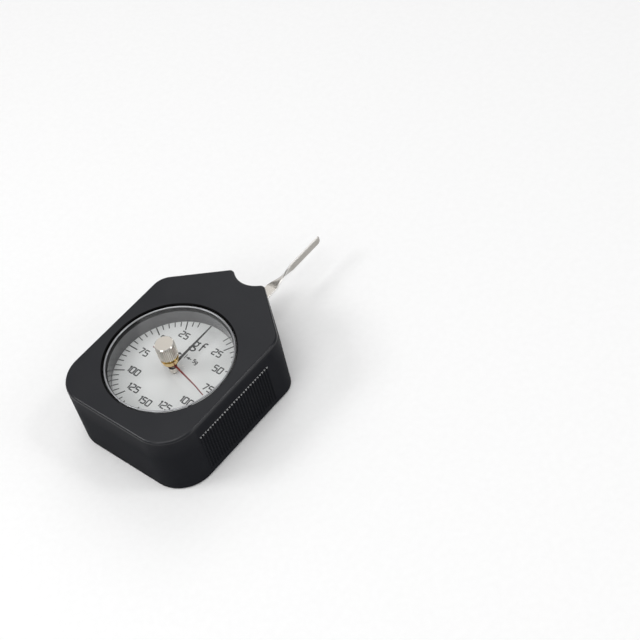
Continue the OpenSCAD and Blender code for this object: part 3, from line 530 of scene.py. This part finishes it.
def floor_paper():
    """White paper with a faint fibre: throws back less light than it shows, and is plain white far off."""
    white = (0.97, 0.97, 0.97), (0.99, 0.99, 0.99)
    thrown_back = (0.8, 0.8, 0.8)
    material, tree, shader = new_material("floor_paper")
    ray = add(tree, "ShaderNodeLightPath").outputs
    shown = combine(tree, "MAXIMUM", ray["Is Camera Ray"], ray["Is Glossy Ray"])
    shown = combine(tree, "MAXIMUM", shown, ray["Is Transmission Ray"])
    paper = mottle(tree, grain(tree, size=2.5), white)
    tree.links.new(blend_colours(tree, shown, thrown_back, paper), shader.inputs["Base Color"])
    fill(shader, Roughness=0.9, Specular_IOR_Level=0.1)
    distance, _ = axis_distance(tree)
    far = ramp(tree, distance, FLOOR_FADE[0] * MM, FLOOR_FADE[1] * MM)
    plain = add(tree, "ShaderNodeEmission", Color=(1, 1, 1, 1), Strength=1.0)
    show_mix(tree, combine(tree, "MULTIPLY", far, shown), shader.outputs["BSDF"], plain.outputs["Emission"])
    return material


def finishes():
    """The finish of each material slot."""
    nickel = (0.70, 0.655, 0.60), (0.80, 0.755, 0.70)
    brass = (0.66, 0.46, 0.16), (0.78, 0.57, 0.22)
    steel = (0.42, 0.43, 0.44), (0.55, 0.56, 0.57)
    blued = (0.09, 0.12, 0.2), (0.14, 0.18, 0.28)
    black = (0.008, 0.008, 0.008), (0.014, 0.014, 0.014)
    red = (0.16, 0.012, 0.014), (0.21, 0.016, 0.018)
    rubber = (0.03, 0.024, 0.02), (0.05, 0.04, 0.034)
    return {
        "case_black": case_plastic(),
        "dial_white": dial_paint(),
        "wall_grey": wall_satin(),
        "crystal": crystal_clear(),
        "bright_nickel": metal("bright_nickel", nickel, (0.12, 0.24), drawn_marks, depth=0.002),
        "knob_nickel": knob_plate(),
        "brass": metal("brass", brass, (0.14, 0.26), lathe_marks, depth=0.003),
        "screw_steel": metal("screw_steel", steel, (0.2, 0.34), scratches, depth=0.003),
        "spring_steel": metal("spring_steel", blued, (0.2, 0.3), scratches, depth=0.002),
        "pointer_black": enamel("pointer_black", black),
        "pointer_red": enamel("pointer_red", red),
        "washer_dark": enamel("washer_dark", rubber),
    }


def own_finishes():
    """Finishes of parts that differ from the rest of their slot."""
    satin = (0.36, 0.365, 0.38), (0.44, 0.445, 0.46)
    return {
        "lever_blade": lever_plate(),
        "knob_bush": bush_brass(),
        "crystal_ring": metal("ring_satin", satin, (0.25, 0.4), lathe_marks, depth=0.002),
    }


def printing_ink():
    return enamel("printing_ink", ((0.006, 0.006, 0.007), (0.014, 0.014, 0.015)))


# Edges of the frame's own parts

def join_faces(part):
    """Shades a part smoothly and joins its faces where they meet."""
    for face in part.data.polygons:
        face.use_smooth = True
    weld = part.modifiers.new("weld", "WELD")
    weld.merge_threshold = WELD_REACH * MM


def smooth(part):
    """Smooths a part's fillets, while its sharp edges stay crisp."""
    join_faces(part)
    crease = part.modifiers.new("crease", "EDGE_SPLIT")
    crease.split_angle = math.radians(CREASE_ANGLE)


def soften(part, width):
    """Rounds a part's sharp edges by width millimetres and smooths the rest."""
    join_faces(part)
    flats = part.modifiers.new("flats", "DECIMATE")
    flats.decimate_type = "DISSOLVE"
    flats.angle_limit = math.radians(FLAT_ANGLE)
    edge = part.modifiers.new("edge", "BEVEL")
    edge.limit_method = "ANGLE"
    edge.angle_limit = math.radians(ROUNDED_ANGLE)
    edge.width = width * MM
    edge.segments = ROUNDING_STEPS
    normals = part.modifiers.new("normals", "WEIGHTED_NORMAL")
    normals.weight = FLAT_WEIGHT


# Paths and flat strokes for the dial print

def arc(centre, radii, start, stop, steps):
    """Points on a stretch of an ellipse, with angles in degrees."""
    angles = [math.radians(start + (stop - start) * i / steps) for i in range(steps + 1)]
    return [(centre[0] + radii[0] * math.cos(a), centre[1] + radii[1] * math.sin(a)) for a in angles]


def ring(centre, radii, steps):
    """Points round a whole ellipse."""
    return arc(centre, radii, 0, 360, steps)[:-1]


def moved(points, place):
    return [(x + place[0], y + place[1]) for x, y in points]


def round_corner(before, corner, after, radius, steps=4):
    """Points that round one corner of a stroke."""
    p = Vector(corner)
    a, b = Vector(before) - p, Vector(after) - p
    reach = min(radius, a.length / 2, b.length / 2)
    a, b = p + a.normalized() * reach, p + b.normalized() * reach
    shares = [i / steps for i in range(steps + 1)]
    return [tuple((1 - t) ** 2 * a + 2 * t * (1 - t) * p + t * t * b) for t in shares]


def round_path(corners, radius, closed):
    """A path through the corners that rounds each of them, apart from an open path's ends."""
    count = len(corners)
    points = []
    for i, corner in enumerate(corners):
        if not closed and i in (0, count - 1):
            points.append(corner)
        else:
            points += round_corner(corners[i - 1], corner, corners[(i + 1) % count], radius)
    return points


def side_of(points, i, closed):
    """Mitred sideways direction of a stroke at point i."""
    count = len(points)
    here = Vector(points[i])
    back = here - Vector(points[i - 1]) if i > 0 or closed else None
    ahead = Vector(points[(i + 1) % count]) - here if i < count - 1 or closed else None
    runs = [d.normalized() for d in (back, ahead) if d is not None]
    sides = [Vector((-d.y, d.x)) for d in runs]
    middle = sum(sides, Vector((0, 0))).normalized()
    return middle / max(MITRE_SHARE, middle.dot(sides[0]))


def stroke(mesh, points, width, closed=False):
    """Adds a flat strip of ink along the points, on the dial."""
    sections = []
    for i, point in enumerate(points):
        side = side_of(points, i, closed) * (width / 2)
        left, right = Vector(point) + side, Vector(point) - side
        corners = [(left, 0), (right, 0), (right, PRINT_HEIGHT), (left, PRINT_HEIGHT)]
        sections.append([mesh.verts.new((p.x * MM, p.y * MM, (DIAL_TOP + z) * MM)) for p, z in corners])
    pairs = list(zip(sections, sections[1:] + sections[:1]))
    for first, second in pairs if closed else pairs[:-1]:
        for k in range(4):
            mesh.faces.new((first[k], second[k], second[(k + 1) % 4], first[(k + 1) % 4]))
    if not closed:
        mesh.faces.new(sections[0])
        mesh.faces.new(reversed(sections[-1]))


def solid_shape(mesh, outline):
    """Adds a flat plate of ink with the given outline, on the dial."""
    low = [mesh.verts.new((x * MM, y * MM, DIAL_TOP * MM)) for x, y in outline]
    high = [mesh.verts.new((x * MM, y * MM, (DIAL_TOP + PRINT_HEIGHT) * MM)) for x, y in outline]
    mesh.faces.new(reversed(low))
    mesh.faces.new(high)
    for i in range(len(outline)):
        j = (i + 1) % len(outline)
        mesh.faces.new((low[i], low[j], high[j], high[i]))


def piece(name, body, material, draw):
    """Adds a piece whose mesh draw() fills, riding on a body."""
    mesh = bmesh.new()
    draw(mesh)
    bmesh.ops.recalc_face_normals(mesh, faces=mesh.faces)
    data = bpy.data.meshes.new(name)
    mesh.to_mesh(data)
    mesh.free()
    data.materials.append(material)
    made = bpy.data.objects.new(name, data)
    bpy.context.scene.collection.objects.link(made)
    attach(made, body)


# The dial's print

def draw_ticks(mesh):
    for gram in range(SCALE_FIRST, SCALE_LAST + 1, SCALE_STEP):
        kind = "minor" if gram % SCALE_MAJOR else "major"
        for side in (-1, 1) if gram < SCALE_LAST else (1,):
            turn = math.radians(side * gram * DEGREES_PER_GRAM)
            ray = Vector((math.sin(turn), math.cos(turn)))
            ends = [tuple(ray * r) for r in (TICK_INNER[kind], TICK_OUTER)]
            stroke(mesh, ends, TICK_WIDTH[kind])


def draw_number(mesh, text, centre, size, width):
    """Adds a number in upright stroke digits round its centre."""
    shares = [DIGITS[d][2] for d in text]
    left = centre[0] - (sum(shares) * size[0] + DIGIT_GAP * (len(text) - 1)) / 2
    low = centre[1] - size[1] / 2
    corner = DIGIT_CORNER * size[1] / DIGIT_SIZE[1]
    for digit, share in zip(text, shares):
        corners, closed, _ = DIGITS[digit]
        placed = [(left + x * share * size[0], low + y * size[1]) for x, y in corners]
        stroke(mesh, round_path(placed, corner, closed), width, closed)
        left += share * size[0] + DIGIT_GAP


def draw_numbers(mesh):
    for number, (x, y) in NUMBER_PLACES.items():
        for side in (-1, 1) if x else (1,):
            draw_number(mesh, str(number), (side * x, y), DIGIT_SIZE, DIGIT_STROKE)


def draw_unit(mesh):
    """The unit, gram-force: a two-storey g and an upright f."""
    for middle, radii in G_RINGS:
        stroke(mesh, moved(ring(middle, radii, steps=24), UNIT_PLACE), UNIT_STROKE, closed=True)
    f_stem = [F_FOOT] + arc(*F_HOOK, steps=8)
    for points in (G_LINK, G_EAR, f_stem, F_BAR):
        stroke(mesh, moved(points, UNIT_PLACE), UNIT_STROKE)


def draw_legend(mesh):
    """Two arrows on one graduation, and its value in grams."""
    place = (0, LEGEND_LEVEL)
    for bar, tip, tail in LEGEND_ARROWS:
        reach = math.copysign(HEAD_LENGTH, tail - tip)
        head = [(tip, 0), (tip + reach, HEAD_HALF), (tip + reach, -HEAD_HALF)]
        stroke(mesh, moved([(bar, end) for end in LEGEND_BAR], place), LEGEND_STROKE)
        solid_shape(mesh, moved(head, place))
        stroke(mesh, moved([(tip + HEAD_SHARE * reach, 0), (tail, 0)], place), LEGEND_STROKE)
    value_centre = moved([VALUE_PLACE], place)[0]
    draw_number(mesh, LEGEND_VALUE, value_centre, VALUE_SIZE, LEGEND_STROKE)
    stroke(mesh, moved(ring(*GRAM_RING, steps=16), place), LEGEND_STROKE, closed=True)
    stroke(mesh, moved(GRAM_STEM + arc(*GRAM_HOOK, steps=5), place), LEGEND_STROKE)


PRINT = {
    "dial_ticks": draw_ticks,
    "dial_numbers": draw_numbers,
    "dial_unit": draw_unit,
    "dial_legend": draw_legend,
}


# The stage

def add_floor():
    half = FLOOR_SIZE / 2 * MM
    corners = [(-half, -half, 0), (half, -half, 0), (half, half, 0), (-half, half, 0)]
    data = bpy.data.meshes.new("floor")
    data.from_pydata(corners, [], [(0, 1, 2, 3)])
    data.materials.append(floor_paper())
    floor = bpy.data.objects.new("floor", data)
    floor.location.z = CAD_BOX[0].z - FLOOR_DROP * MM
    bpy.context.scene.collection.objects.link(floor)


def add_soft_box(name, place, size, power):
    data = bpy.data.lights.new(name, "AREA")
    data.energy = power
    data.size = size * MM
    lamp = bpy.data.objects.new(name, data)
    lamp.location = Vector(place) * MM
    lamp.rotation_mode = "QUATERNION"
    lamp.rotation_quaternion = (Vector(AIM) - Vector(place)).to_track_quat("-Z", "Y")
    bpy.context.scene.collection.objects.link(lamp)


def add_world():
    world = bpy.data.worlds.new("studio")
    world.use_nodes = True
    fill(world.node_tree.nodes["Background"], Color=(1, 1, 1, 1), Strength=WORLD_LEVEL)
    bpy.context.scene.world = world


def add_camera():
    data = bpy.data.cameras.new("camera")
    data.sensor_width = SENSOR_WIDTH
    data.lens = FOCAL_PIXELS * SENSOR_WIDTH / FRAME_PIXELS
    camera = bpy.data.objects.new("camera", data)
    camera.location = Vector(CAMERA_PLACE) * MM
    camera.rotation_mode = "QUATERNION"
    aim = (Vector(CAMERA_TARGET) - Vector(CAMERA_PLACE)).to_track_quat("-Z", "Y")
    camera.rotation_quaternion = aim @ Quaternion((0, 0, 1), math.radians(-CAMERA_ROLL))
    bpy.context.scene.collection.objects.link(camera)
    bpy.context.scene.camera = camera


finish_of, own_finish_of = finishes(), own_finishes()
for name, part in NODES.items():
    part.data.materials.clear()
    part.data.materials.append(own_finish_of.get(name, finish_of[SLOT_OF[name]]))

for name, width in EDGE_ROUNDING.items():
    soften(NODES[name], width)
for name in CREASED_PARTS:
    smooth(NODES[name])

ink = printing_ink()
for name, draw in PRINT.items():
    piece(name, "case", ink, draw)

add_floor()
add_world()
for name, (place, size, power) in SOFT_BOXES.items():
    add_soft_box(name, place, size, power)
add_camera()
bpy.context.scene.view_settings.view_transform = "Standard"
